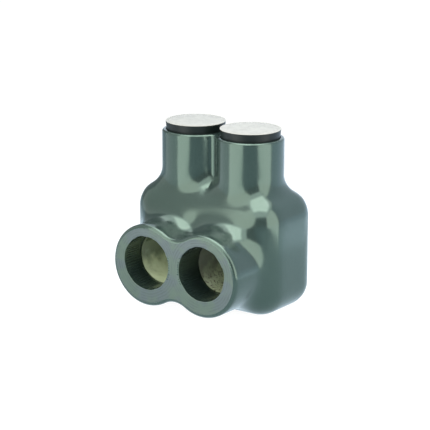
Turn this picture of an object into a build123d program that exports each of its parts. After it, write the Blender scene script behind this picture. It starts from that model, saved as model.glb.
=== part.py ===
"""Insulated two-port set-screw connector for power cables.

An aluminium block with two blind cable bores and two set screws sits in a thick vinyl jacket, moulded
over it in one piece.  The jacket carries a twin skirt round the cable ports and two chimneys over the
screws, each closed by a tapered plug.  Sizes are in millimetres.

Frame: the origin is on the base plane, midway between the two screw axes.  +Z runs up the screws,
-Y out of the cable ports, +X to the right of someone who looks into the ports.
"""

from build123d import *
from math import radians, sqrt, tan
import os

# Layout of the two circuits
axis_pitch = 24.8  # between the two cable axes, and between the two screw axes
port_height = 18.9  # cable axes above the base

# Jacket body
body_width = 63.4
body_depth = 33.4
body_height = 44.6
body_set_back = 0.5  # body centre behind the screw axes
jacket_wall = 3.0
corner_radius = 10.0
shoulder_radius = 10.0
base_radius = 9.0

# Chimneys over the set screws
chimney_top = 64.2
chimney_radius = 12.6
chimney_foot_radius = 8.0
groove_radius = 2.2  # in the valley between the two chimneys
rim_outer_radius = 0.9
rim_inner_radius = 0.35

# Twin skirt round the cable ports
skirt_reach = 30.8  # cut face of the skirt in front of the screw axes
skirt_radius = 15.4
skirt_drop = 1.0  # centre of each lobe below its cable axis
skirt_foot_radius = 8.5
saddle_radius = 9.0  # in the waist between the two lobes
skirt_edge_radius = 1.4

# Cable bores and the joint compound that lines them
bore_radius = 10.0
bore_back_wall = 5.0  # metal left behind the blind end of a bore
lining_thickness = 0.5
left_lining_depth = 9.9  # front edge of the lining behind the cut face of the skirt
right_lining_depth = 12.2

# Terminal block
block_edge_radius = 4.5

# Set screws, five-eighths of an inch with a hexagon socket
screw_radius = 7.94
screw_length = 20.0
screw_clearance = 0.06
screw_retreat = 1.0  # tip of the backed-out screw above the bore
screw_top_chamfer = 0.7
screw_tip_chamfer = 1.2
socket_across_flats = 7.94
socket_depth = 8.5
socket_cone_angle = 75.0  # half angle of the shallow cone that closes the socket

# Access plugs
plug_top_radius = 11.31
plug_stand = 3.15  # top of the seated plug above the rim of its chimney
plug_length = 11.65
plug_taper = 6.15  # degrees on each side
plug_wall = 2.0
plug_crown = 2.6  # thickness of the plug's top
plug_edge_radius = 0.15
plug_lead_chamfer = 0.8
plug_clearance = 0.06

# Sizes that follow from the ones above
half_pitch = axis_pitch / 2
block_width = body_width - 2 * jacket_wall
block_depth = body_depth - 2 * jacket_wall
block_bottom = jacket_wall
block_top = body_height - jacket_wall
block_back = body_set_back + block_depth / 2
bore_end = block_back - bore_back_wall
chimney_root = body_height - shoulder_radius - jacket_wall
screw_hole_radius = screw_radius + screw_clearance
screw_tip_height = port_height + bore_radius + screw_retreat
plug_narrowing = tan(radians(plug_taper))  # loss of radius over each millimetre of depth
plug_bottom_radius = plug_top_radius - plug_length * plug_narrowing
plug_bottom_height = chimney_top + plug_stand - plug_length
seat_rim_radius = plug_top_radius - plug_stand * plug_narrowing + plug_clearance
access_radius = plug_bottom_radius + plug_clearance

screw_axes = [(-half_pitch, 0), (half_pitch, 0)]
side_of = {"left": -half_pitch, "right": half_pitch}
lining_depth_of = {"left": left_lining_depth, "right": right_lining_depth}

# Looks into the ports: local X is +X, and an extrusion of a positive amount runs back along +Y
port_face = Plane(origin=(0, -skirt_reach, port_height), x_dir=(1, 0, 0), z_dir=(0, 1, 0))
skirt_face = Plane(origin=(0, -skirt_reach, port_height - skirt_drop), x_dir=(1, 0, 0), z_dir=(0, 1, 0))


def waist(lobe_radius, valley_radius):
    """Web between two round lobes one pitch apart, with a rounded valley on each side."""
    valley_centre = sqrt((lobe_radius + valley_radius) ** 2 - half_pitch**2)
    valley_floor = valley_centre - valley_radius
    touch_x = half_pitch * valley_radius / (lobe_radius + valley_radius)
    touch_y = valley_centre * lobe_radius / (lobe_radius + valley_radius)
    with BuildSketch() as web:
        with BuildLine():
            ThreePointArc((-touch_x, touch_y), (0, valley_floor), (touch_x, touch_y))
            Line((touch_x, touch_y), (touch_x, -touch_y))
            ThreePointArc((touch_x, -touch_y), (0, -valley_floor), (-touch_x, -touch_y))
            Line((-touch_x, -touch_y), (-touch_x, touch_y))
        make_face()
    return web.sketch


chimney_waist = waist(chimney_radius, groove_radius)
skirt_waist = waist(skirt_radius, saddle_radius)

os.makedirs("parts", exist_ok=True)

# Terminal block: a bar with eased edges, before its bores are cut
with BuildPart() as block_blank:
    with BuildSketch(Plane.XY.offset(block_bottom)):
        with Locations((0, body_set_back)):
            Rectangle(block_width, block_depth)
    extrude(amount=block_top - block_bottom)
    fillet(block_blank.edges(), block_edge_radius)

# Two blind cable bores from the front and two screw holes from the top meet inside the block
with BuildPart() as terminal_block:
    add(block_blank.part)
    with BuildSketch(port_face):
        with Locations(*screw_axes):
            Circle(bore_radius)
    extrude(amount=skirt_reach + bore_end, mode=Mode.SUBTRACT)
    with BuildSketch(Plane.XY.offset(port_height)):
        with Locations(*screw_axes):
            Circle(screw_hole_radius)
    extrude(amount=block_top - port_height, mode=Mode.SUBTRACT)

terminal_block.part.label = "terminal_block"
export_step(terminal_block.part, "parts/terminal_block.step")

# Insulating jacket, one moulding
with BuildPart() as insulating_jacket:
    # Soft-edged body
    with BuildSketch():
        with Locations((0, body_set_back)):
            RectangleRounded(body_width, body_depth, corner_radius)
    extrude(amount=body_height)
    fillet(insulating_jacket.faces().sort_by(Axis.Z)[-1].edges(), shoulder_radius)
    fillet(insulating_jacket.faces().sort_by(Axis.Z)[0].edges(), base_radius)

    # One chimney flares into its shoulder, and the half that carries it is mirrored
    with BuildSketch(Plane.XY.offset(chimney_root)):
        with Locations((-half_pitch, 0)):
            Circle(chimney_radius)
    extrude(amount=chimney_top - chimney_root)
    chimney_foot = (
        insulating_jacket.edges(Select.NEW)
        .filter_by(GeomType.LINE, reverse=True)
        .filter_by_position(Axis.Z, chimney_root, chimney_top, inclusive=(False, False))
    )
    fillet(chimney_foot, chimney_foot_radius)
    split(bisect_by=Plane.YZ, keep=Keep.BOTTOM)
    mirror(about=Plane.YZ)

    # Rounded valley between the two chimneys
    with BuildSketch(Plane.XY.offset(chimney_root)):
        add(chimney_waist)
    extrude(amount=chimney_top - chimney_root)

    # Twin skirt, with a saddle between its lobes and a wide blend into the body
    with BuildSketch(skirt_face):
        with Locations(*screw_axes):
            Circle(skirt_radius)
        add(skirt_waist)
    extrude(amount=skirt_reach)
    skirt_foot = (
        insulating_jacket.edges(Select.NEW)
        .filter_by(GeomType.LINE, reverse=True)
        .filter_by_position(Axis.Y, -skirt_reach, 0, inclusive=(False, False))
    )
    fillet(skirt_foot, skirt_foot_radius)
    fillet(insulating_jacket.faces().sort_by(Axis.Y)[0].edges(), skirt_edge_radius)
    fillet(insulating_jacket.faces().sort_by(Axis.Z)[-1].edges(), rim_outer_radius)

    # Space for the block, and the cable entries down to it
    add(block_blank.part, mode=Mode.SUBTRACT)
    with BuildSketch(port_face):
        with Locations(*screw_axes):
            Circle(bore_radius)
    extrude(amount=skirt_reach, mode=Mode.SUBTRACT)

    # Access bores: a tapered seat for each plug, then a straight way to the screw
    with BuildSketch(Plane.XY.offset(chimney_top)):
        with Locations(*screw_axes):
            Circle(seat_rim_radius)
    extrude(amount=plug_bottom_height - chimney_top, taper=plug_taper, mode=Mode.SUBTRACT)
    with BuildSketch(Plane.XY.offset(plug_bottom_height)):
        with Locations(*screw_axes):
            Circle(access_radius)
    extrude(amount=block_top - plug_bottom_height, mode=Mode.SUBTRACT)
    seat_mouths = (
        insulating_jacket.edges()
        .filter_by(GeomType.CIRCLE)
        .filter_by_position(Axis.Z, chimney_top, chimney_top)
        .filter_by(lambda mouth: abs(mouth.radius - seat_rim_radius) < plug_clearance)
    )
    fillet(seat_mouths, rim_inner_radius)

insulating_jacket.part.label = "insulating_jacket"
export_step(insulating_jacket.part, "parts/insulating_jacket.step")

for side, axis_x in side_of.items():
    # Joint compound: a thin lining of the bore and of the inner end of the skirt, open above for the screw
    lining_start = lining_depth_of[side]
    with BuildPart() as compound_lining:
        with BuildSketch(port_face.offset(lining_start)):
            with Locations((axis_x, 0)):
                Circle(bore_radius)
        extrude(amount=skirt_reach + bore_end - lining_start)
        with BuildSketch(port_face.offset(lining_start)):
            with Locations((axis_x, 0)):
                Circle(bore_radius - lining_thickness)
        extrude(amount=skirt_reach + bore_end - lining_start - lining_thickness, mode=Mode.SUBTRACT)
        with BuildSketch(Plane.XY.offset(port_height)):
            with Locations((axis_x, 0)):
                Circle(screw_hole_radius)
        extrude(amount=2 * bore_radius, mode=Mode.SUBTRACT)

    compound_lining.part.label = f"{side}_compound_lining"
    export_step(compound_lining.part, f"parts/{side}_compound_lining.step")

    # Set screw, backed out clear of the bore, with a forged hexagon over a shallow cone
    with BuildPart(Plane((axis_x, 0, screw_tip_height))) as set_screw:
        Cylinder(screw_radius, screw_length, align=(Align.CENTER, Align.CENTER, Align.MIN))
        chamfer(set_screw.edges().group_by(Axis.Z)[-1], screw_top_chamfer)
        chamfer(set_screw.edges().group_by(Axis.Z)[0], screw_tip_chamfer)
        socket_floor = screw_length - socket_depth
        cone_depth = socket_across_flats / 2 / tan(radians(socket_cone_angle))
        with BuildSketch(Plane((axis_x, 0, screw_tip_height + screw_length))):
            RegularPolygon(socket_across_flats / 2, 6, major_radius=False)
        extrude(amount=-socket_depth, mode=Mode.SUBTRACT)
        with Locations((0, 0, socket_floor - cone_depth)):
            Cone(
                0,
                socket_across_flats / 2,
                cone_depth,
                align=(Align.CENTER, Align.CENTER, Align.MIN),
                mode=Mode.SUBTRACT,
            )

    set_screw.part.label = f"{side}_set_screw"
    export_step(set_screw.part, f"parts/{side}_set_screw.step")

    # Access plug: a tapered stopper, cored out from below
    with BuildPart() as access_plug:
        with BuildSketch(Plane.XY.offset(chimney_top + plug_stand)):
            with Locations((axis_x, 0)):
                Circle(plug_top_radius)
        extrude(amount=-plug_length, taper=plug_taper)
        fillet(access_plug.edges().group_by(Axis.Z)[-1], plug_edge_radius)
        chamfer(access_plug.edges().group_by(Axis.Z)[0], plug_lead_chamfer)
        with BuildSketch(Plane.XY.offset(plug_bottom_height)):
            with Locations((axis_x, 0)):
                Circle(plug_bottom_radius - plug_wall)
        extrude(amount=plug_length - plug_crown, taper=-plug_taper, mode=Mode.SUBTRACT)

    access_plug.part.label = f"{side}_access_plug"
    export_step(access_plug.part, f"parts/{side}_access_plug.step")
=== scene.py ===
"""Studio picture of an insulated two-port set-screw connector.

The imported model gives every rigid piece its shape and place. This script dresses those pieces,
swaps the ones whose surface needs more than the plain solid, and lights them as a glossy moulded
product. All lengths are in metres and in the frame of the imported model.
"""

from __future__ import annotations

import logging
import math
from collections.abc import Callable
from dataclasses import dataclass
from enum import Enum

import bmesh
import bpy
from mathutils import Matrix, Vector, noise
from mathutils.kdtree import KDTree

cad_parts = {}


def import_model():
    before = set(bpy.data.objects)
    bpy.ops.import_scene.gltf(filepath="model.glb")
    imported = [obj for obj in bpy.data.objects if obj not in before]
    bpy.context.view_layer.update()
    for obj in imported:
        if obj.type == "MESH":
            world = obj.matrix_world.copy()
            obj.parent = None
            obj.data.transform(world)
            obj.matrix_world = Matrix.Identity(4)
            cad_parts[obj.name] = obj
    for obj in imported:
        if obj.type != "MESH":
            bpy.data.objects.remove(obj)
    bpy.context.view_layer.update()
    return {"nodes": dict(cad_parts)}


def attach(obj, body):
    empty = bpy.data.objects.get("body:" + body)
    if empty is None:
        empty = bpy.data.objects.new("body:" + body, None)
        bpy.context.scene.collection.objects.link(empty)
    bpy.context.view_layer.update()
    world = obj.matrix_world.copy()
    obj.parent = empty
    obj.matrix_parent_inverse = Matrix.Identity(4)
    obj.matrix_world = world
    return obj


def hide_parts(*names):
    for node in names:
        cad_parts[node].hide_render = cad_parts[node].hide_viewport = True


log = logging.getLogger("connector")

Colour = tuple[float, float, float]
Band = tuple[float, float]
SocketValue = "bpy.types.NodeSocket | float | tuple[float, ...]"

PITCH = 0.0248
PORT_HEIGHT = 0.0189
PLUG_TOP = 0.06735
MERGE_DISTANCE = 1e-6
CREASE_ANGLE = math.radians(35.0)
MIX_COLOUR_INPUTS = (6, 7)
MIX_COLOUR_OUTPUT = 2


class Side(Enum):
    """One of the two circuits, named as someone who looks into the ports sees it."""

    LEFT = "left"
    RIGHT = "right"

    @property
    def axis_x(self) -> float:
        """X of this circuit's cable axis and screw axis."""
        return PITCH / 2 * (-1 if self is Side.LEFT else 1)


class Ray(Enum):
    """Kinds of ray that the world and the floor answer in their own way."""

    CAMERA = "Is Camera Ray"
    GLOSSY = "Is Glossy Ray"
    TRANSMISSION = "Is Transmission Ray"


def clamp(value: float, low: float = 0.0, high: float = 1.0) -> float:
    """Holds a number between two limits."""
    return min(max(value, low), high)


def wave(phase: float) -> float:
    """A sine that runs from 0 to 1."""
    return 0.5 + 0.5 * math.sin(phase)


def unevenness(point: Vector) -> float:
    """Smooth noise that runs from 0 to 1."""
    return 0.5 + 0.5 * noise.noise(point)


def put_in_scene(name: str, data: bpy.types.ID) -> bpy.types.Object:
    """Makes an object of a mesh, a lamp or a camera and links it to the scene.

    Args:
        name: Name of the object.
        data: What the object is made of.

    Returns:
        The new object.
    """
    made = bpy.data.objects.new(name, data)
    bpy.context.scene.collection.objects.link(made)
    return made


def add_node(
    tree: bpy.types.NodeTree,
    kind: str,
    inputs: dict[str | int, SocketValue] | None = None,
    **settings: object,
) -> bpy.types.Node:
    """Adds a shader node.

    Args:
        tree: Node tree that takes the node.
        kind: Blender's type name of the node.
        inputs: A constant or a socket to link, for each input by name or number.
        settings: Properties of the node itself.

    Returns:
        The new node.
    """
    node = tree.nodes.new(kind)
    for name, value in settings.items():
        setattr(node, name, value)
    for name, value in (inputs or {}).items():
        if isinstance(value, bpy.types.NodeSocket):
            tree.links.new(value, node.inputs[name])
        else:
            node.inputs[name].default_value = value
    return node


def math_node(
    tree: bpy.types.NodeTree, operation: str, first: SocketValue, second: SocketValue = 0.0
) -> bpy.types.NodeSocket:
    """Adds a Math node and returns its output."""
    return add_node(tree, "ShaderNodeMath", {0: first, 1: second}, operation=operation).outputs[0]


def ramp(
    tree: bpy.types.NodeTree, value: SocketValue, band: Band, result: Band = (0.0, 1.0)
) -> bpy.types.NodeSocket:
    """Maps a value smoothly from one band onto another, and holds it at both ends.

    Args:
        tree: Node tree that takes the node.
        value: Number to map.
        band: Values at which the change starts and ends.
        result: What those two values become.

    Returns:
        The mapped number.
    """
    inputs = {"Value": value, "From Min": band[0], "From Max": band[1]}
    inputs |= {"To Min": result[0], "To Max": result[1]}
    node = add_node(tree, "ShaderNodeMapRange", inputs, interpolation_type="SMOOTHSTEP")
    return node.outputs["Result"]


def blend(
    tree: bpy.types.NodeTree, share: SocketValue, first: SocketValue, second: SocketValue
) -> bpy.types.NodeSocket:
    """Mixes two colours.

    Args:
        tree: Node tree that takes the node.
        share: Share of the second colour, from 0 to 1.
        first: Colour at a share of 0.
        second: Colour at a share of 1.

    Returns:
        The mixed colour.
    """
    node = add_node(tree, "ShaderNodeMix", {"Factor": share}, data_type="RGBA")
    for number, value in zip(MIX_COLOUR_INPUTS, (first, second)):
        if isinstance(value, bpy.types.NodeSocket):
            tree.links.new(value, node.inputs[number])
        else:
            node.inputs[number].default_value = (*value, 1.0)
    return node.outputs[MIX_COLOUR_OUTPUT]


def object_point(tree: bpy.types.NodeTree) -> bpy.types.NodeSocket:
    """Adds the coordinates of the object, in metres."""
    return add_node(tree, "ShaderNodeTexCoord").outputs["Object"]


def shaded(colour: Colour, share: float) -> Colour:
    """A darker tone of a colour, at a share of its brightness."""
    return tuple(share * channel for channel in colour)


class EffectLibrary:
    """Surface effects that several materials share, each built once as a node group."""

    def __init__(self) -> None:
        """Builds the groups."""
        self.grain = self._grain()
        self.wander = self._wander()
        self.port_radius = self._axis_radius("port_radius", "Z", PORT_HEIGHT)
        self.screw_radius = self._axis_radius("screw_axis_radius", "Y", 0.0)

    @staticmethod
    def _group(
        name: str, inputs: dict[str, float], output: str
    ) -> tuple[bpy.types.NodeTree, bpy.types.Node, bpy.types.Node]:
        """Makes an empty group.

        Args:
            name: Name of the group.
            inputs: Name and default of each number that it takes.
            output: Name of the number that it gives.

        Returns:
            The group, its input node and its output node.
        """
        tree = bpy.data.node_groups.new(name, "ShaderNodeTree")
        for label, value in inputs.items():
            socket = tree.interface.new_socket(
                label, in_out="INPUT", socket_type="NodeSocketFloat"
            )
            socket.default_value = value
        tree.interface.new_socket(output, in_out="OUTPUT", socket_type="NodeSocketFloat")
        return tree, tree.nodes.new("NodeGroupInput"), tree.nodes.new("NodeGroupOutput")

    def _grain(self) -> bpy.types.NodeTree:
        """Fine speckle of a moulded or cut surface, from 0 to 1.

        Returns:
            The group.
        """
        tree, given, result = self._group("fine_grain", {"Grain Size": 0.0004}, "Speckle")
        scale = math_node(tree, "DIVIDE", 1.0, given.outputs["Grain Size"])
        inputs = {"Vector": object_point(tree), "Scale": scale, "Detail": 3.0}
        texture = add_node(tree, "ShaderNodeTexNoise", inputs)
        tree.links.new(texture.outputs["Fac"], result.inputs["Speckle"])
        return tree

    def _wander(self) -> bpy.types.NodeTree:
        """Slow unevenness of a thick skin, from 0 to 1.

        Returns:
            The group.
        """
        sockets = {"Wave Length": 0.01, "Detail": 1.0}
        tree, given, result = self._group("slow_wander", sockets, "Level")
        scale = math_node(tree, "DIVIDE", 1.0, given.outputs["Wave Length"])
        inputs = {"Vector": object_point(tree), "Scale": scale, "Detail": given.outputs["Detail"]}
        texture = add_node(tree, "ShaderNodeTexNoise", inputs)
        tree.links.new(texture.outputs["Fac"], result.inputs["Level"])
        return tree

    def _axis_radius(self, name: str, across: str, centre: float) -> bpy.types.NodeTree:
        """Distance from the nearer of two parallel axes, in metres.

        Args:
            name: Name of the group.
            across: Coordinate, besides X, that runs across the axes.
            centre: Value of that coordinate on the axes.

        Returns:
            The group.
        """
        tree, _, result = self._group(name, {}, "Radius")
        parts = add_node(tree, "ShaderNodeSeparateXYZ", {0: object_point(tree)})
        from_middle = math_node(tree, "ABSOLUTE", parts.outputs["X"])
        aside = math_node(tree, "SUBTRACT", from_middle, PITCH / 2)
        above = math_node(tree, "SUBTRACT", parts.outputs[across], centre)
        flat = add_node(tree, "ShaderNodeCombineXYZ", {"X": aside, "Y": above})
        length = add_node(
            tree, "ShaderNodeVectorMath", {0: flat.outputs[0]}, operation="LENGTH"
        )
        tree.links.new(length.outputs["Value"], result.inputs["Radius"])
        return tree

    @staticmethod
    def place(
        tree: bpy.types.NodeTree, group: bpy.types.NodeTree, **values: float
    ) -> bpy.types.NodeSocket:
        """Places a group in a material with its own values.

        Args:
            tree: Node tree of the material.
            group: One of this library's groups.
            values: Inputs of the group, with underscores for the spaces of their names.

        Returns:
            The group's output.
        """
        inputs = {label.replace("_", " ").title(): value for label, value in values.items()}
        return add_node(tree, "ShaderNodeGroup", inputs, node_tree=group).outputs[0]


class Finish:
    """Base of the finishes: opens a material and leaves the rest to each finish."""

    @staticmethod
    def open_material(
        name: str, **sockets: object
    ) -> tuple[bpy.types.Material, bpy.types.NodeTree, bpy.types.Node]:
        """Makes a material with its Principled shader.

        Args:
            name: Name of the material.
            sockets: Constants of the shader, with underscores for the spaces of their names.

        Returns:
            The material, its node tree and its shader.
        """
        material = bpy.data.materials.new(name)
        material.use_nodes = True
        shader = material.node_tree.nodes["Principled BSDF"]
        for label, value in sockets.items():
            shader.inputs[label.replace("_", " ")].default_value = value
        return material, material.node_tree, shader


@dataclass(frozen=True)
class GlossyVinyl(Finish):
    """Thick moulded vinyl with a wet gloss."""

    body: Colour = (0.0125, 0.0215, 0.0195)
    shade: float = 0.9
    shade_length: float = 0.02
    shade_band: Band = (0.3, 0.7)
    sheen: Colour = (0.74, 1.0, 0.84)
    refraction: float = 1.75
    grain_size: float = 0.0006
    grain_band: Band = (0.3, 0.75)
    roughness: Band = (0.15, 0.225)

    def build(self, effects: EffectLibrary) -> bpy.types.Material:
        """Builds the material.

        Args:
            effects: Shared node groups.

        Returns:
            The material.
        """
        material, tree, shader = self.open_material(
            "glossy_vinyl", IOR=self.refraction, Specular_Tint=(*self.sheen, 1.0)
        )
        level = effects.place(tree, effects.wander, wave_length=self.shade_length, detail=1.0)
        share = ramp(tree, level, self.shade_band)
        skin = blend(tree, share, self.body, shaded(self.body, self.shade))
        tree.links.new(skin, shader.inputs["Base Color"])
        speckle = effects.place(tree, effects.grain, grain_size=self.grain_size)
        dull = ramp(tree, speckle, self.grain_band, self.roughness)
        tree.links.new(dull, shader.inputs["Roughness"])
        return material


@dataclass(frozen=True)
class TrimmedVinyl(Finish):
    """The same vinyl where a knife trimmed the skirt: matte, with faint rings round each port."""

    pale: Colour = (0.049, 0.079, 0.061)
    bluish: Colour = (0.049, 0.070, 0.074)
    tone_length: float = 0.007
    tone_band: Band = (0.4, 0.6)
    dark: Colour = (0.031, 0.048, 0.048)
    ring_spacing: float = 0.0010
    ring_band: Band = (-0.6, 1.0)
    ring_shift: float = 7.0
    shift_length: float = 0.006
    grain_size: float = 0.0003
    grain_band: Band = (0.25, 0.7)
    grain_share: Band = (0.35, 1.0)
    gap_length: float = 0.0035
    gap_band: Band = (0.35, 0.62)
    gap_share: Band = (0.1, 1.0)
    detail: float = 2.0
    roughness: float = 0.5

    def build(self, effects: EffectLibrary) -> bpy.types.Material:
        """Builds the material.

        Args:
            effects: Shared node groups.

        Returns:
            The material.
        """
        material, tree, shader = self.open_material("trimmed_vinyl", Roughness=self.roughness)
        radius = effects.place(tree, effects.port_radius)
        shift = self._wander(tree, effects, self.shift_length)
        turn = math_node(tree, "MULTIPLY", radius, math.tau / self.ring_spacing)
        turn = math_node(tree, "ADD", turn, math_node(tree, "MULTIPLY", shift, self.ring_shift))
        ring = ramp(tree, math_node(tree, "SINE", turn), self.ring_band)
        speckle = effects.place(tree, effects.grain, grain_size=self.grain_size)
        gaps = self._wander(tree, effects, self.gap_length)
        worn = ramp(tree, speckle, self.grain_band, self.grain_share)
        share = math_node(tree, "MULTIPLY", ring, worn)
        share = math_node(tree, "MULTIPLY", share, ramp(tree, gaps, self.gap_band, self.gap_share))
        tone = ramp(tree, self._wander(tree, effects, self.tone_length), self.tone_band)
        vinyl = blend(tree, tone, self.pale, self.bluish)
        tree.links.new(blend(tree, share, vinyl, self.dark), shader.inputs["Base Color"])
        return material

    def _wander(
        self, tree: bpy.types.NodeTree, effects: EffectLibrary, length: float
    ) -> bpy.types.NodeSocket:
        """Places slow unevenness of one wave length."""
        return effects.place(tree, effects.wander, wave_length=length, detail=self.detail)


@dataclass(frozen=True)
class PlugPlastic(Finish):
    """Black stopper whose top is painted pale and slightly mottled, a painted reflection of the
    bright surroundings, with a painted highlight along the top's rim.
    """

    side: Colour = (0.003, 0.0055, 0.005)
    # Painted reflection: the pale top colour and its mottle stand in for the black top reflecting
    # the bright surroundings.
    top: Colour = (0.215, 0.212, 0.197)
    mottled_reflection: Colour = (0.182, 0.181, 0.168)
    top_z: float = PLUG_TOP
    painted_top_depth: Band = (0.00018, 0.00012)
    # Painted highlight: past this radius the top is left unmottled, a painted bright line along its
    # rim.
    highlight_rim_radius: float = 0.0107
    highlight_rim_width: float = 0.0001
    patch_length: float = 0.0022
    patch_detail: float = 4.0
    patch_band: Band = (0.42, 0.62)
    grain_size: float = 0.0005
    grain_band: Band = (0.3, 0.6)
    grain_share: Band = (0.4, 1.0)
    gloss_band: Band = (0.2, 0.8)
    roughness: Band = (0.32, 0.48)
    specular: float = 0.24

    def build(self, effects: EffectLibrary) -> bpy.types.Material:
        """Builds the material.

        Args:
            effects: Shared node groups.

        Returns:
            The material.
        """
        material, tree, shader = self.open_material(
            "plug_plastic", Specular_IOR_Level=self.specular
        )
        along = add_node(tree, "ShaderNodeSeparateXYZ", {0: object_point(tree)})
        # Painted reflection: the top face is painted pale, the side stays black.
        painted_top_start, painted_top_full = (self.top_z - depth for depth in self.painted_top_depth)
        pale = ramp(tree, along.outputs["Z"], (painted_top_start, painted_top_full))
        patches = effects.place(
            tree, effects.wander, wave_length=self.patch_length, detail=self.patch_detail
        )
        speckle = effects.place(tree, effects.grain, grain_size=self.grain_size)
        fine = ramp(tree, speckle, self.grain_band, self.grain_share)
        worn = math_node(tree, "MULTIPLY", ramp(tree, patches, self.patch_band), fine)
        # Painted highlight: the mottle stops at the rim, which keeps the plain pale colour.
        highlight_rim_band = (self.highlight_rim_radius, self.highlight_rim_radius + self.highlight_rim_width)
        rim_highlight = ramp(tree, effects.place(tree, effects.screw_radius), highlight_rim_band)
        worn = math_node(tree, "MULTIPLY", worn, math_node(tree, "SUBTRACT", 1.0, rim_highlight))
        skin = blend(tree, worn, self.top, self.mottled_reflection)
        tree.links.new(blend(tree, pale, self.side, skin), shader.inputs["Base Color"])
        dull = ramp(tree, speckle, self.gloss_band, self.roughness)
        tree.links.new(dull, shader.inputs["Roughness"])
        return material


@dataclass(frozen=True)
class JointCompound(Finish):
    """Olive paste, wiped round the bore, with painted shade higher up and over the deeper right
    port, and with brown spots on the right.
    """

    # Painted light and shade: each port's paste is painted lighter low down and darker higher up,
    # where the skirt shades it, and the right port's paste is painted darker, deeper in the port's
    # shade.
    left_lit_low: Colour = (0.36, 0.42, 0.25)
    left_shaded_high: Colour = (0.085, 0.112, 0.056)
    right_lit_low: Colour = (0.22, 0.265, 0.15)
    right_shaded_high: Colour = (0.07, 0.082, 0.05)
    side_band: Band = (-0.001, 0.001)
    shade_height_band: Band = (0.010, PORT_HEIGHT)
    height_shift: float = 0.012
    spot: Colour = (0.06, 0.055, 0.03)
    spot_size: float = 0.0009
    spot_band: Band = (0.52, 0.62)
    spot_height: Band = (PORT_HEIGHT, 0.011)
    wave_length: float = 0.004
    wave_detail: float = 3.0
    gloss_band: Band = (0.3, 0.7)
    roughness: Band = (0.35, 0.6)

    def build(self, effects: EffectLibrary) -> bpy.types.Material:
        """Builds the material.

        Args:
            effects: Shared node groups.

        Returns:
            The material.
        """
        material, tree, shader = self.open_material("joint_compound")
        level = effects.place(
            tree, effects.wander, wave_length=self.wave_length, detail=self.wave_detail
        )
        speckle = effects.place(tree, effects.grain, grain_size=self.spot_size)
        parts = add_node(tree, "ShaderNodeSeparateXYZ", {0: object_point(tree)})
        right = ramp(tree, parts.outputs["X"], self.side_band)
        centred = math_node(tree, "SUBTRACT", level, 0.5)
        shift = math_node(tree, "MULTIPLY", centred, self.height_shift)
        height = math_node(tree, "ADD", parts.outputs["Z"], shift)
        # Painted shade: darker towards the top of each bore.
        high = ramp(tree, height, self.shade_height_band)
        left_shaded_paste = blend(tree, high, self.left_lit_low, self.left_shaded_high)
        right_shaded_paste = blend(tree, high, self.right_lit_low, self.right_shaded_high)
        colour = blend(tree, right, left_shaded_paste, right_shaded_paste)
        low = ramp(tree, parts.outputs["Z"], self.spot_height)
        low_right = math_node(tree, "MULTIPLY", right, low)
        spots = math_node(tree, "MULTIPLY", ramp(tree, speckle, self.spot_band), low_right)
        tree.links.new(blend(tree, spots, colour, self.spot), shader.inputs["Base Color"])
        dull = ramp(tree, level, self.gloss_band, self.roughness)
        tree.links.new(dull, shader.inputs["Roughness"])
        return material


@dataclass(frozen=True)
class MachinedMetal(Finish):
    """Satin metal with fine tool marks."""

    name: str = "machined_aluminium"
    metal: Colour = (0.78, 0.79, 0.8)
    roughness: float = 0.35
    shade: float = 0.9
    grain_size: float = 0.0003

    def build(self, effects: EffectLibrary) -> bpy.types.Material:
        """Builds the material.

        Args:
            effects: Shared node groups.

        Returns:
            The material.
        """
        material, tree, shader = self.open_material(
            self.name, Metallic=1.0, Roughness=self.roughness
        )
        speckle = effects.place(tree, effects.grain, grain_size=self.grain_size)
        colour = blend(tree, speckle, self.metal, shaded(self.metal, self.shade))
        tree.links.new(colour, shader.inputs["Base Color"])
        return material


class Facing(Enum):
    """Where a panel points its light, as turns in degrees about Z and then about X."""

    RIGHT = (-90.0, 90.0)
    LEFT = (90.0, 90.0)
    DOWN = (0.0, 0.0)
    FORWARD = (180.0, 90.0)


@dataclass(frozen=True)
class LightPanel:
    """A lit panel of the light tent, square to the camera's axis.

    A place is given as metres to the right of the product, towards the camera, and above the
    floor.
    """

    name: str
    place: tuple[float, float, float]
    width: float
    height: float
    facing: Facing
    radiance: float
    colour: Colour

    def hang(self, tent_turn: float) -> bpy.types.Object:
        """Hangs the panel.

        Args:
            tent_turn: Azimuth of the tent's open side from -Y towards +X, in degrees.

        Returns:
            The lamp object.
        """
        lamp = bpy.data.lights.new(self.name, "AREA")
        lamp.shape = "RECTANGLE"
        lamp.size, lamp.size_y = self.width, self.height
        lamp.energy = self.radiance * math.pi * self.width * self.height
        lamp.color = self.colour
        lamp_object = put_in_scene(self.name, lamp)
        right, forward, up = self.place
        turn, tilt = (math.radians(angle) for angle in self.facing.value)
        tent = Matrix.Rotation(math.radians(tent_turn), 4, "Z")
        spot = tent @ Matrix.Translation((right, -forward, up))
        lamp_object.matrix_world = (
            spot @ Matrix.Rotation(turn, 4, "Z") @ Matrix.Rotation(tilt, 4, "X")
        )
        return lamp_object


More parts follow.
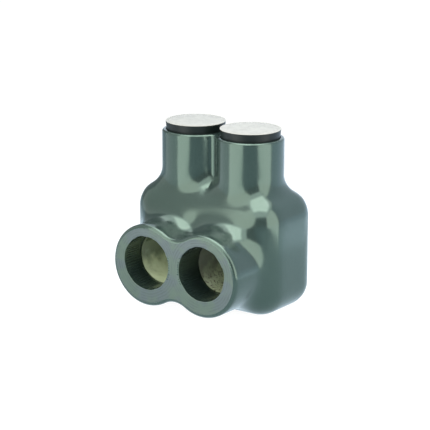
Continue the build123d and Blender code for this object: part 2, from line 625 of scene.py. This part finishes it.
@dataclass(frozen=True)
class ProductCamera:
    """The photograph's viewpoint, as a turn round the product and a small turn of the camera."""

    azimuth: float = 35.357
    elevation: float = 11.489
    distance: float = 0.64639
    aim_height: float = 0.07384
    yaw: float = 0.253
    pitch: float = 3.543
    roll: float = 0.180
    lens: float = 146.6
    sensor: float = 36.0
    clip: Band = (0.01, 20.0)

    def build(self) -> bpy.types.Object:
        """Makes the camera and hands it to the scene.

        Returns:
            The camera object.
        """
        data = bpy.data.cameras.new("product_camera")
        data.lens, data.sensor_width = self.lens, self.sensor
        data.clip_start, data.clip_end = self.clip
        camera = put_in_scene("product_camera", data)
        around, above = math.radians(self.azimuth), math.radians(self.elevation)
        flat = self.distance * math.cos(above)
        height = self.distance * math.sin(above)
        place = Vector((flat * math.sin(around), -flat * math.cos(around), height))
        turn = Matrix.Rotation(math.radians(self.azimuth + self.yaw), 4, "Z")
        tilt = Matrix.Rotation(math.radians(90 - self.elevation - self.pitch), 4, "X")
        spin = Matrix.Rotation(math.radians(self.roll), 4, "Z")
        aim = Vector((0, 0, self.aim_height))
        camera.matrix_world = Matrix.Translation(place + aim) @ turn @ tilt @ spin
        bpy.context.scene.camera = camera
        return camera


@dataclass(frozen=True)
class Studio:
    """Pale table inside a light tent with white surroundings."""

    panels: tuple[LightPanel, ...] = (
        LightPanel(
            "left_wall", (-0.095, 0.1365, 0.090), 0.187, 0.18, Facing.RIGHT, 3.2, (1.0, 1.0, 0.94)
        ),
        LightPanel(
            "left_wall_rear", (-0.095, 0.0, 0.090), 0.10, 0.18, Facing.RIGHT, 0.68, (1.0, 1.0, 0.98)
        ),
        LightPanel(
            "right_wall", (0.110, 0.140, 0.090), 0.19, 0.17, Facing.LEFT, 3.2, (1.0, 1.0, 0.95)
        ),
        LightPanel(
            "right_wall_rear", (0.110, -0.050, 0.085), 0.18, 0.17, Facing.LEFT, 0.62,
            (0.85, 1.0, 1.25),
        ),
        LightPanel(
            "ceiling_lamp", (0.0, 0.040, 0.170), 0.15, 0.12, Facing.DOWN, 3.8, (1.0, 1.0, 0.95)
        ),
        LightPanel(
            "ceiling_front", (0.007, 0.150, 0.180), 0.205, 0.18, Facing.DOWN, 2.8, (0.98, 1.0, 1.0)
        ),
        LightPanel(
            "ceiling_rear", (0.007, -0.045, 0.180), 0.205, 0.21, Facing.DOWN, 2.4, (0.95, 1.0, 1.0)
        ),
        LightPanel(
            "back_wall", (0.030, -0.150, 0.085), 0.16, 0.17, Facing.FORWARD, 0.9, (0.9, 1.0, 1.2)
        ),
    )
    tent_turn: float = 35.4
    floor_size: float = 6.0
    floor_white: float = 0.9
    floor_roughness: float = 0.9
    floor_glow: float = 1.2
    glow_share: float = 0.8
    backdrop: float = 1.0
    near_floor: Colour = (0.94, 1.16, 1.32)
    far_floor: Colour = (0.44, 0.58, 0.68)
    floor_reach: Band = (0.11, 0.25)
    mirrored: Colour = (0.30, 0.34, 0.36)
    fill: float = 0.45

    def build(self) -> None:
        """Lights the product and lays the floor."""
        for panel in self.panels:
            panel.hang(self.tent_turn)
        self._paint_world()
        self._lay_floor()
        bpy.context.scene.view_settings.view_transform = "Standard"

    def _paint_world(self) -> None:
        """White to the camera and through glass, and dimmer in mirrors and as fill light."""
        world = bpy.data.worlds.new("studio")
        bpy.context.scene.world = world
        world.use_nodes = True
        tree = world.node_tree
        background = tree.nodes["Background"]
        rays = add_node(tree, "ShaderNodeLightPath").outputs
        fill, white = (self.fill,) * 3, (self.backdrop,) * 3
        colour = blend(tree, rays[Ray.GLOSSY.value], fill, self.mirrored)
        seen = math_node(tree, "MAXIMUM", rays[Ray.CAMERA.value], rays[Ray.TRANSMISSION.value])
        tree.links.new(blend(tree, seen, colour, white), background.inputs["Color"])

    def _lay_floor(self) -> None:
        """Lays a square of pale floor under the product."""
        mesh = bpy.data.meshes.new("floor")
        shape = bmesh.new()
        bmesh.ops.create_grid(shape, x_segments=1, y_segments=1, size=self.floor_size / 2)
        shape.to_mesh(mesh)
        shape.free()
        floor = put_in_scene("floor", mesh)
        mesh.materials.append(self._floor_finish())

    def _floor_finish(self) -> bpy.types.Material:
        """Almost white to the camera but for the soft shadow, and dimmer far off in mirrors.

        Returns:
            The material.
        """
        material, tree, shader = Finish.open_material(
            "pale_floor",
            Base_Color=(self.floor_white,) * 3 + (1.0,),
            Roughness=self.floor_roughness,
            Specular_IOR_Level=0.0,
        )
        inputs = {"Color": (1.0, 1.0, 1.0, 1.0), "Strength": self.floor_glow}
        glow = add_node(tree, "ShaderNodeEmission", inputs)
        rays = add_node(tree, "ShaderNodeLightPath").outputs
        share = math_node(tree, "MULTIPLY", rays[Ray.CAMERA.value], self.glow_share)
        inputs = {0: share, 1: shader.outputs[0], 2: glow.outputs[0]}
        lit = add_node(tree, "ShaderNodeMixShader", inputs)
        away = add_node(
            tree, "ShaderNodeVectorMath", {0: object_point(tree)}, operation="LENGTH"
        )
        far = ramp(tree, away.outputs["Value"], self.floor_reach)
        colour = blend(tree, far, self.near_floor, self.far_floor)
        sheen = add_node(tree, "ShaderNodeEmission", {"Color": colour})
        inputs = {0: rays[Ray.GLOSSY.value], 1: lit.outputs[0], 2: sheen.outputs[0]}
        surface = add_node(tree, "ShaderNodeMixShader", inputs)
        tree.links.new(surface.outputs[0], tree.nodes["Material Output"].inputs["Surface"])
        return material


def copy_of(node: bpy.types.Object, name: str) -> tuple[bpy.types.Object, bmesh.types.BMesh]:
    """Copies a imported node's solid, with its doubled vertices merged.

    Args:
        node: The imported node.
        name: Name of the new piece.

    Returns:
        The new object, with its mesh still empty, and the copied solid.
    """
    shape = bmesh.new()
    shape.from_mesh(node.data)
    shape.transform(node.matrix_world)
    bmesh.ops.remove_doubles(shape, verts=shape.verts, dist=MERGE_DISTANCE)
    return put_in_scene(name, bpy.data.meshes.new(name)), shape


def refine(
    shape: bmesh.types.BMesh, longest: float, passes: int, where: Callable[[Vector], bool]
) -> None:
    """Splits the longest edge of each triangle in a region while it is longer than wanted.

    Only one edge of a triangle is split in a round, and each triangle beside it is cut from the
    new point to the corner opposite, so that the solid stays closed and made of triangles.

    Args:
        shape: Solid to refine; its faces become triangles.
        longest: Longest edge that is wanted.
        passes: Most rounds of splitting.
        where: Whether a point lies in the region.
    """
    bmesh.ops.triangulate(shape, faces=[face for face in shape.faces if len(face.verts) > 3])
    for _ in range(passes):
        split: list[bmesh.types.BMEdge] = []
        touched: set[bmesh.types.BMFace] = set()
        for face in shape.faces:
            edge = max(face.edges, key=bmesh.types.BMEdge.calc_length)
            if face in touched or edge.calc_length() <= longest:
                continue
            if not touched.isdisjoint(edge.link_faces):
                continue
            if where((edge.verts[0].co + edge.verts[1].co) / 2):
                split.append(edge)
                touched.update(edge.link_faces)
        if not split:
            return
        result = bmesh.ops.subdivide_edges(shape, edges=split, cuts=1)
        for vert in result["geom_inner"]:
            if not isinstance(vert, bmesh.types.BMVert):
                continue
            for face in [face for face in vert.link_faces if len(face.verts) == 4]:
                corners = list(face.verts)
                bmesh.utils.face_split(face, vert, corners[corners.index(vert) - 2])


def hand_over(
    piece: bpy.types.Object, shape: bmesh.types.BMesh, *materials: bpy.types.Material
) -> None:
    """Writes a finished solid into its piece, shades it smooth and gives it its materials.

    Args:
        piece: Object that takes the solid.
        shape: The finished solid, which is freed.
        materials: Finishes, in the order of the faces' material numbers.
    """
    shape.normal_update()
    for face in shape.faces:
        face.smooth = True
    shape.to_mesh(piece.data)
    shape.free()
    for material in materials:
        piece.data.materials.append(material)


def spun(
    name: str,
    profile: list[tuple[float, float]],
    steps: int,
    axis_x: float,
    shift: Callable[[Vector], Vector],
) -> bpy.types.Object:
    """Turns a half section round an upright axis into a closed piece, and then moves its points.

    Args:
        name: Name of the new piece.
        profile: Radius and height of each point; it starts and ends on the axis.
        steps: Number of steps of the turn.
        axis_x: X of the axis.
        shift: Gives the move of each point of the turned solid.

    Returns:
        The new object.
    """
    shape = bmesh.new()
    verts = [shape.verts.new((axis_x + radius, 0.0, height)) for radius, height in profile]
    edges = [shape.edges.new(pair) for pair in zip(verts, verts[1:])]
    bmesh.ops.spin(
        shape, geom=verts + edges, cent=(axis_x, 0, 0), axis=(0, 0, 1), angle=math.tau,
        steps=steps, use_merge=True,
    )
    bmesh.ops.remove_doubles(shape, verts=shape.verts, dist=MERGE_DISTANCE)
    for vert in shape.verts:
        vert.co += shift(vert.co)
    bmesh.ops.recalc_face_normals(shape, faces=shape.faces)
    for edge in shape.edges:
        edge.smooth = edge.calc_face_angle(0.0) < CREASE_ANGLE
    piece = put_in_scene(name, bpy.data.meshes.new(name))
    hand_over(piece, shape)
    return piece


@dataclass(frozen=True)
class JacketSizes:
    """Sizes of the moulded jacket's visible surface, in metres.

    The mouth and ragged ratios are shares of the bore's radius, and the bevel ratio is a share of
    the mouth's bevel. The blurs say how far normals are averaged.
    """

    trim_y: float = -0.0308
    trim_tolerance: float = 1e-5
    bore_radius: float = 0.010
    bore_tolerance: float = 5e-5
    rim_top: float = 0.0642
    rim_depth: float = 0.0012
    cavity_low: tuple[float, float, float] = (-0.0288, -0.0133, 0.0029)
    cavity_high: tuple[float, float, float] = (0.0288, 0.0143, 0.0417)
    skin_facet: float = 0.0022
    skin_passes: int = 6
    trim_facet: float = 0.0006
    trim_passes: int = 8
    mouth_bevel: float = 0.00022
    mouth_segments: int = 3
    mouth_depth: float = 0.0015
    bevel_ratio: float = 1.2
    mouth_ratio: float = 1.03
    ragged_ratio: float = 1.06
    ragged_depth: float = 0.0003
    ragged_start: float = 0.35
    ragged_lumps: float = 2.2
    ragged_seed: float = 3.0
    ragged_detail: float = 3.1
    wave_depth: float = 0.00011
    wave_length: float = 0.012
    wave_fade: float = 0.002
    foot_height: float = 0.0002
    seat_radius: float = 0.0113
    seat_fade: float = 0.0006
    seat_margin: float = 0.001
    knife_depth: float = 0.00003
    knife_spacing: float = 0.0010
    knife_shift: float = 0.6
    knife_shift_length: float = 0.005
    crease: float = CREASE_ANGLE
    blur: float = 0.0014
    rim_blur: float = 0.00028
    blur_cut: float = 2.0
    cell: float = 0.0004
    facing_steps: float = 2.5
    corner_steps: float = 10.0
    own_weight: float = 1e-9


class SkinSamples:
    """Facings of the skin, gathered cell by cell, from which smooth normals are averaged."""

    def __init__(self, shape: bmesh.types.BMesh, sizes: JacketSizes) -> None:
        """Gathers the faces that lie in one cell and face one way.

        Args:
            shape: The finished solid.
            sizes: Sizes of the surface.
        """
        self.sizes = sizes
        self.limit = math.cos(sizes.crease)
        clusters: dict[tuple[int, ...], tuple[Vector, Vector]] = {}
        for face in shape.faces:
            middle, normal, area = face.calc_center_median(), face.normal, face.calc_area()
            key = tuple(round(c / sizes.cell) for c in middle)
            key += tuple(round(sizes.facing_steps * c) for c in normal)
            place, total = clusters.setdefault(key, (Vector(), Vector()))
            place += middle * area
            total += normal * area
        samples = [(place, total) for place, total in clusters.values() if total.length > 0.0]
        self.facing = [total.normalized() for _, total in samples]
        self.weights = [total.length for _, total in samples]
        self.tree = KDTree(len(samples))
        for index, (place, total) in enumerate(samples):
            self.tree.insert(place / total.length, index)
        self.tree.balance()

    def normal(self, point: Vector, own: Vector, spread: float) -> Vector:
        """Averages the facings near a point, the nearest most, and none from across a crease.

        Args:
            point: Where the normal is wanted.
            own: Normal of the faces that meet there.
            spread: Distance at which a facing counts clearly less.

        Returns:
            The smooth normal.
        """
        total = own * self.sizes.own_weight
        for _, index, distance in self.tree.find_range(point, self.sizes.blur_cut * spread):
            agreement = self.facing[index].dot(own) - self.limit
            if agreement > 0.0:
                nearness = math.exp(-0.5 * (distance / spread) ** 2)
                total += self.facing[index] * (self.weights[index] * agreement * nearness)
        return total.normalized()


class MouldedJacket:
    """Glossy jacket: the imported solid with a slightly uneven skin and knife-trimmed port faces."""

    def __init__(self, node: bpy.types.Object, sizes: JacketSizes = JacketSizes()) -> None:
        """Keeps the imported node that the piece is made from.

        Args:
            node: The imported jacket.
            sizes: Sizes of the surface.
        """
        self.node = node
        self.sizes = sizes

    def build(self, skin: bpy.types.Material, trimmed: bpy.types.Material) -> bpy.types.Object:
        """Makes the piece.

        Args:
            skin: Finish of the moulded skin.
            trimmed: Finish of the cut faces.

        Returns:
            The jacket.
        """
        sizes = self.sizes
        piece, shape = copy_of(self.node, "moulded_jacket")
        self._trim_mouths(shape)
        cut = sizes.trim_y + sizes.mouth_bevel
        refine(shape, sizes.skin_facet, sizes.skin_passes, lambda point: not self._hidden(point))
        refine(shape, sizes.trim_facet, sizes.trim_passes, lambda point: point.y < cut)
        self._mark_trimmed(shape)
        self._warp_skin(shape)
        self._cut_marks(shape)
        normals = self._normals(shape)
        hand_over(piece, shape, skin, trimmed)
        piece.data.normals_split_custom_set(normals)
        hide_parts("insulating_jacket")
        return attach(piece, "housing")

    def _hidden(self, point: Vector) -> bool:
        """Whether a point lies on the wall of the cavity that the block fills."""
        low, high = self.sizes.cavity_low, self.sizes.cavity_high
        return all(low[axis] < point[axis] < high[axis] for axis in range(3))

    def _on_trim(self, point: Vector) -> bool:
        """Whether a point lies on the plane of the cut."""
        return abs(point.y - self.sizes.trim_y) < self.sizes.trim_tolerance

    @staticmethod
    def _port_offset(point: Vector) -> Vector:
        """Offset of a point from the nearer cable axis, across that axis."""
        return Vector((point.x - math.copysign(PITCH / 2, point.x), 0.0, point.z - PORT_HEIGHT))

    def _on_mouth(self, point: Vector) -> bool:
        """Whether a point lies on the circle where a bore meets the plane of the cut."""
        off_circle = abs(self._port_offset(point).length - self.sizes.bore_radius)
        return self._on_trim(point) and off_circle < self.sizes.bore_tolerance

    def _trim_mouths(self, shape: bmesh.types.BMesh) -> None:
        """Breaks the sharp edge round each port's mouth.

        Args:
            shape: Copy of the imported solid.
        """
        mouth = [edge for edge in shape.edges if all(self._on_mouth(v.co) for v in edge.verts)]
        bmesh.ops.bevel(
            shape, geom=mouth, offset=self.sizes.mouth_bevel, offset_type="OFFSET",
            segments=self.sizes.mouth_segments, profile=0.5, affect="EDGES", material=-1,
        )

    def _mark_trimmed(self, shape: bmesh.types.BMesh) -> None:
        """Gives the cut faces, with their broken edges, the second material.

        Args:
            shape: The refined solid.
        """
        sizes = self.sizes
        limit = sizes.trim_y + sizes.bevel_ratio * sizes.mouth_bevel
        reach = sizes.mouth_ratio * sizes.bore_radius
        for face in shape.faces:
            points = [vert.co for vert in face.verts]
            flat = all(self._on_trim(point) for point in points)
            near = all(p.y < limit and self._port_offset(p).length < reach for p in points)
            face.material_index = 1 if flat or near else 0

    def _on_skin(self, point: Vector) -> float:
        """How far a point takes part in the skin's unevenness.

        Args:
            point: A point of the jacket.

        Returns:
            A share from 0, at the foot, the mouths, the plug seats and the cavity, to 1.
        """
        sizes = self.sizes
        if self._hidden(point):
            return 0.0
        share = clamp((point.z - sizes.foot_height) / sizes.wave_fade)
        if point.y < sizes.cavity_low[1]:
            beyond = self._port_offset(point).length - sizes.mouth_ratio * sizes.bore_radius
            share *= clamp(beyond / sizes.wave_fade)
        if point.z > sizes.cavity_high[2] - sizes.seat_margin:
            from_axis = math.hypot(abs(point.x) - PITCH / 2, point.y)
            share *= clamp((from_axis - sizes.seat_radius) / sizes.seat_fade)
        return share

    def _warp_skin(self, shape: bmesh.types.BMesh) -> None:
        """Sinks the skin by a slow, slight amount, as thick vinyl shrinks on cooling.

        Args:
            shape: The refined solid.
        """
        sizes = self.sizes
        shape.normal_update()
        moves = []
        for vert in shape.verts:
            share = self._on_skin(vert.co)
            if share:
                level = unevenness(vert.co / sizes.wave_length)
                moves.append((vert, vert.normal * (-share * level * sizes.wave_depth)))
        for vert, move in moves:
            vert.co += move

    def _cut_marks(self, shape: bmesh.types.BMesh) -> None:
        """Leaves the mouths of the ports a little ragged, and adds the knife's rings.

        Args:
            shape: The refined solid.
        """
        sizes = self.sizes
        for vert in shape.verts:
            if vert.co.y > sizes.trim_y + sizes.mouth_depth:
                continue
            offset = self._port_offset(vert.co)
            radius = offset.length
            if radius < sizes.ragged_ratio * sizes.bore_radius:
                fade = 1.0 - (vert.co.y - sizes.trim_y) / sizes.mouth_depth
                level = max(0.0, sizes.ragged_start + self._raggedness(offset, vert.co.x))
                vert.co += offset.normalized() * (level * fade * sizes.ragged_depth)
            if any(face.material_index for face in vert.link_faces):
                shift = sizes.knife_shift * noise.noise(vert.co / sizes.knife_shift_length)
                ring = wave(math.tau * radius / sizes.knife_spacing + math.tau * shift)
                vert.co.y += ring * sizes.knife_depth

    def _raggedness(self, offset: Vector, x: float) -> float:
        """Coarse and fine noise round a port's mouth.

        Args:
            offset: Offset from the port's axis.
            x: X of the point; its sign says which port it is.

        Returns:
            The noise, on both sides of zero.
        """
        sizes = self.sizes
        angle = math.atan2(offset.z, offset.x)
        across, up = sizes.ragged_lumps * math.cos(angle), sizes.ragged_lumps * math.sin(angle)
        around = Vector((across, math.copysign(sizes.ragged_seed, x), up))
        return noise.noise(around) + 0.5 * noise.noise(sizes.ragged_detail * around)

    def _normals(self, shape: bmesh.types.BMesh) -> list[Vector]:
        """Smooth normals for all face corners, averaged over the skin near each corner.

        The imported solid's facets are long and uneven in the blends, and a mirror-like skin shows
        that. Averaging stops at creases, and takes in less round the small rims.

        Args:
            shape: The finished solid, made of triangles.

        Returns:
            One normal for each face corner, in order.
        """
        sizes = self.sizes
        shape.normal_update()
        samples = SkinSamples(shape, sizes)
        skin = {vert: self._on_skin(vert.co) > 0.0 for vert in shape.verts}
        areas = {face: face.calc_area() for face in shape.faces}
        found: dict[tuple[int, ...], Vector] = {}
        normals = []
        for face in shape.faces:
            for loop in face.loops:
                vert = loop.vert
                own = Vector()
                for other in vert.link_faces:
                    if other.normal.dot(face.normal) > samples.limit:
                        own += other.normal * areas[other]
                own.normalize()
                if face.material_index or not skin[vert]:
                    normals.append(own)
                    continue
                key = (vert.index, *(round(sizes.corner_steps * c) for c in own))
                if key not in found:
                    found[key] = samples.normal(vert.co, own, self._blur_at(vert.co))
                normals.append(found[key])
        return normals

    def _blur_at(self, point: Vector) -> float:
        """How far normals are averaged at a point: less near the rims and the mouths."""
        sizes = self.sizes
        on_rim = point.z > sizes.rim_top - sizes.rim_depth
        at_mouth = point.y < sizes.trim_y + sizes.mouth_depth
        return sizes.rim_blur if on_rim or at_mouth else sizes.blur


@dataclass(frozen=True)
class LiningSizes:
    """Sizes of the joint compound's visible surface, in metres."""

    wall_radius: float = 0.00975
    reach: float = 0.012
    facet: float = 0.0008
    passes: int = 10
    lump: float = 0.0002
    pit: float = 0.0003
    coarse_length: float = 0.0022
    fine_length: float = 0.0008
    front_depth: float = 0.002
    front_wobble: float = 0.00025
    front_start: float = 0.4
    front_length: float = 0.0035
    front_seed: float = 400.0


class CompoundLining:
    """Wiped paste round one bore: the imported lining, lumpy, pitted and uneven at its front."""

    def __init__(
        self, side: Side, node: bpy.types.Object, sizes: LiningSizes = LiningSizes()
    ) -> None:
        """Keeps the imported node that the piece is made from.

        Args:
            side: Circuit that the lining belongs to.
            node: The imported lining.
            sizes: Sizes of the surface.
        """
        self.side = side
        self.node = node
        self.sizes = sizes

    def build(self, paste: bpy.types.Material) -> bpy.types.Object:
        """Makes the piece.

        Args:
            paste: Finish of the compound.

        Returns:
            The lining.
        """
        sizes = self.sizes
        name = f"{self.side.value}_compound_lining"
        piece, shape = copy_of(self.node, f"{self.side.value}_wiped_compound")
        front = min(vert.co.y for vert in shape.verts)
        refine(shape, sizes.facet, sizes.passes, lambda point: point.y < front + sizes.reach)
        self._wipe(shape, front)
        hand_over(piece, shape, paste)
        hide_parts(name)
        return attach(piece, "housing")

    def _wipe(self, shape: bmesh.types.BMesh, front: float) -> None:
        """Moves the paste's surface, less and less with depth.

        Args:
            shape: The refined solid.
            front: Y of the lining's front edge.
        """
        sizes = self.sizes
        seed = Vector((sizes.front_seed * self.side.axis_x, 0, 0))
        for vert in shape.verts:
            depth = vert.co.y - front
            if depth > sizes.reach:
                continue
            offset = Vector((vert.co.x - self.side.axis_x, 0.0, vert.co.z - PORT_HEIGHT))
            if offset.length < sizes.wall_radius:
                fade = 1.0 - max(depth, 0.0) / sizes.reach
                level = noise.noise(vert.co / sizes.coarse_length)
                level += 0.5 * noise.noise(vert.co / sizes.fine_length)
                amount = level * (sizes.pit if level > 0.0 else sizes.lump)
                vert.co += offset.normalized() * clamp(amount, -sizes.lump, sizes.pit) * fade
            if depth < sizes.front_depth:
                fade = 1.0 - depth / sizes.front_depth
                edge = sizes.front_start + noise.noise(offset / sizes.front_length + seed)
                vert.co.y += max(0.0, edge) * sizes.front_wobble * fade


@dataclass(frozen=True)
class PlugSizes:
    """Sizes of an access plug, in metres; its edge is rounded in steps of whole degrees."""

    top_z: float = PLUG_TOP
    length: float = 0.01165
    top_radius: float = 0.01131
    taper: float = math.radians(6.15)
    wall: float = 0.002
    crown: float = 0.0026
    hollow_edge: float = 0.0004
    edge: float = 0.00015
    edge_points: int = 4
    edge_step: int = 28
    lead: float = 0.0008
    top_rings: tuple[float, ...] = (0.0, 0.003, 0.006, 0.0085)
    groove_radius: float = 0.0105
    groove_half: float = 0.0002
    groove_depth: float = 0.00008
    dip: float = 0.00004
    dip_length: float = 0.003
    side_rows: int = 40
    side_skin: float = 0.0016
    streak: float = 0.00004
    streak_spacing: float = 0.00045
    streak_shift: float = 3.0
    streak_around: float = 4.0
    streak_length: float = 0.002
    steps: int = 120


class AccessPlug:
    """Tapered stopper, turned as one profile, with mould streaks and a faint ring on its top."""

    def __init__(self, side: Side, sizes: PlugSizes = PlugSizes()) -> None:
        """Keeps the side and the sizes.

        Args:
            side: Circuit that the plug closes.
            sizes: Sizes of the plug.
        """
        self.side = side
        self.sizes = sizes

    def build(self, plastic: bpy.types.Material) -> bpy.types.Object:
        """Makes the piece.

        Args:
            plastic: Finish of the plug.

        Returns:
            The plug.
        """
        name = f"{self.side.value}_access_plug"
        stopper, steps = f"{self.side.value}_stopper", self.sizes.steps
        piece = spun(stopper, self._profile(), steps, self.side.axis_x, self._age)
        piece.data.materials.append(plastic)
        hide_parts(name)
        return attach(piece, f"{self.side.value}_plug")

    def _profile(self) -> list[tuple[float, float]]:
        """Half section from the middle of the top, down the side, and up the hollow.

        Returns:
            Radius and height of each point.
        """
        sizes = self.sizes
        slope = math.tan(sizes.taper)
        base = sizes.top_z - sizes.length
        line = [(radius, sizes.top_z) for radius in sizes.top_rings]
        line.append((sizes.groove_radius - sizes.groove_half, sizes.top_z))
        line.append((sizes.groove_radius, sizes.top_z - sizes.groove_depth))
        line.append((sizes.groove_radius + sizes.groove_half, sizes.top_z))
        for step in range(sizes.edge_points):
            angle = math.radians(90 - sizes.edge_step * step)
            out = sizes.top_radius - sizes.edge + sizes.edge * math.cos(angle) - sizes.edge * slope
            line.append((out, sizes.top_z - sizes.edge + sizes.edge * math.sin(angle)))
        side = sizes.length - sizes.lead - sizes.edge
        for row in range(1, sizes.side_rows + 1):
            drop = sizes.edge + side * row / sizes.side_rows
            line.append((sizes.top_radius - drop * slope, sizes.top_z - drop))
        foot = sizes.top_radius - sizes.length * slope
        line += [(foot - sizes.lead, base), (foot - sizes.wall, base)]
        roof = sizes.top_z - sizes.crown
        inner = foot - sizes.wall + (roof - base) * slope
        line += [(inner, roof - sizes.hollow_edge), (inner - sizes.hollow_edge, roof)]
        return line + [(0.0, roof)]

    def _age(self, point: Vector) -> Vector:
        """Moves a point inward by the side's mould streaks or by the unevenness of the top.

        Args:
            point: A point of the turned plug.

        Returns:
            The move.
        """
        sizes = self.sizes
        depth = sizes.top_z - point.z
        flat = Vector((point.x - self.side.axis_x, point.y, 0.0))
        if depth < MERGE_DISTANCE and flat.length < sizes.groove_radius:
            return Vector((0.0, 0.0, -unevenness(point / sizes.dip_length) * sizes.dip))
        on_side = 2 * sizes.edge < depth < sizes.length - sizes.lead
        if on_side and flat.length > sizes.top_radius - sizes.side_skin:
            across, along = (sizes.streak_around * c / flat.length for c in (flat.x, flat.y))
            shift = noise.noise(Vector((across, along, depth / sizes.streak_length)))
            level = wave(math.tau * depth / sizes.streak_spacing + sizes.streak_shift * shift)
            return flat.normalized() * (-level * sizes.streak)
        return Vector()


@dataclass(frozen=True)
class ScrewSizes:
    """Sizes of a set screw, in metres; its thread is a 5/8 inch one with 18 turns to the inch."""

    tip_z: float = 0.0299
    length: float = 0.020
    radius: float = 0.00794
    thread_pitch: float = 0.001411
    thread_depth: float = 0.00075
    thread_flank: float = 1.3
    thread_land: float = 0.15
    top_chamfer: float = 0.0007
    tip_chamfer: float = 0.0012
    across_flats: float = 0.00794
    socket_depth: float = 0.0085
    socket_cone: float = 0.00106
    socket_lead: float = 0.00035
    floor_share: float = 0.97
    floor_drop: float = 0.00003
    flat_tolerance: float = 1.001
    floor_tolerance: float = 1e-4
    top_tolerance: float = 1e-5
    steps: int = 96
    rows: int = 112


class SetScrew:
    """Hexagon-socket set screw with a real helical thread."""

    def __init__(self, side: Side, sizes: ScrewSizes = ScrewSizes()) -> None:
        """Keeps the side and the sizes.

        Args:
            side: Circuit that the screw clamps.
            sizes: Sizes of the screw.
        """
        self.side = side
        self.sizes = sizes

    def build(self, metal: bpy.types.Material) -> bpy.types.Object:
        """Makes the piece.

        Args:
            metal: Finish of the screw.

        Returns:
            The screw.
        """
        name = f"{self.side.value}_set_screw"
        screw, steps = f"{self.side.value}_threaded_screw", self.sizes.steps
        piece = spun(screw, self._profile(), steps, self.side.axis_x, self._cut)
        piece.data.materials.append(metal)
        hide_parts(name)
        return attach(piece, f"{self.side.value}_screw")

    def _profile(self) -> list[tuple[float, float]]:
        """Half section from the middle of the socket's cone, over the top and down to the tip.

        Returns:
            Radius and height of each point.
        """
        sizes = self.sizes
        top = sizes.tip_z + sizes.length
        floor = top - sizes.socket_depth
        hexagon = sizes.across_flats / 2
        line = [(0.0, floor - sizes.socket_cone)]
        line += [(hexagon * sizes.floor_share, floor - sizes.floor_drop), (hexagon, floor)]
        line += [(hexagon, top - sizes.socket_lead), (hexagon + sizes.socket_lead, top)]
        line.append((sizes.radius - sizes.top_chamfer, top))
        shank = sizes.length - sizes.top_chamfer - sizes.tip_chamfer
        for row in range(sizes.rows + 1):
            line.append((sizes.radius, top - sizes.top_chamfer - shank * row / sizes.rows))
        return line + [(sizes.radius - sizes.tip_chamfer, sizes.tip_z), (0.0, sizes.tip_z)]

    def _cut(self, point: Vector) -> Vector:
        """Moves a point to the flats of the socket or to the flank of the thread.

        Args:
            point: A point of the turned blank.

        Returns:
            The move.
        """
        sizes = self.sizes
        flat = Vector((point.x - self.side.axis_x, point.y, 0.0))
        radius, angle = flat.length, math.atan2(flat.y, flat.x)
        if radius < MERGE_DISTANCE:
            return Vector()
        top = sizes.tip_z + sizes.length
        floor = top - sizes.socket_depth
        in_socket = floor - sizes.floor_tolerance < point.z < top - sizes.top_tolerance
        if in_socket and radius < sizes.across_flats / 2 * sizes.flat_tolerance:
            half_flat = math.radians(30)
            turned = (angle + half_flat) % (2 * half_flat) - half_flat
            return flat * (1 / math.cos(turned) - 1)
        if radius > sizes.radius - MERGE_DISTANCE:
            phase = (point.z / sizes.thread_pitch - angle / math.tau) % 1.0
            level = clamp(abs(2.0 * phase - 1.0) * sizes.thread_flank - sizes.thread_land)
            return flat.normalized() * (-level * sizes.thread_depth)
        return Vector()


def dress(node: bpy.types.Object, material: bpy.types.Material) -> None:
    """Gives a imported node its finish."""
    node.data.materials.clear()
    node.data.materials.append(material)


def main() -> None:
    """Builds the picture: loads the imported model, dresses it and sets up the studio."""
    logging.basicConfig(level=logging.INFO, format="%(message)s")
    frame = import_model()
    nodes = frame["nodes"]
    ProductCamera().build()
    Studio().build()
    effects = EffectLibrary()
    vinyl = GlossyVinyl().build(effects)
    plug = PlugPlastic().build(effects)
    compound = JointCompound().build(effects)
    aluminium = MachinedMetal().build(effects)
    screw = MachinedMetal("turned_screw_metal", (0.7, 0.71, 0.72), 0.3).build(effects)
    trimmed = TrimmedVinyl().build(effects)
    pieces = [MouldedJacket(nodes["insulating_jacket"]).build(vinyl, trimmed)]
    dress(nodes["terminal_block"], aluminium)
    for side in Side:
        lining = CompoundLining(side, nodes[f"{side.value}_compound_lining"])
        pieces.append(AccessPlug(side).build(plug))
        pieces.append(lining.build(compound))
        pieces.append(SetScrew(side).build(screw))


if __name__ == "__main__":
    main()
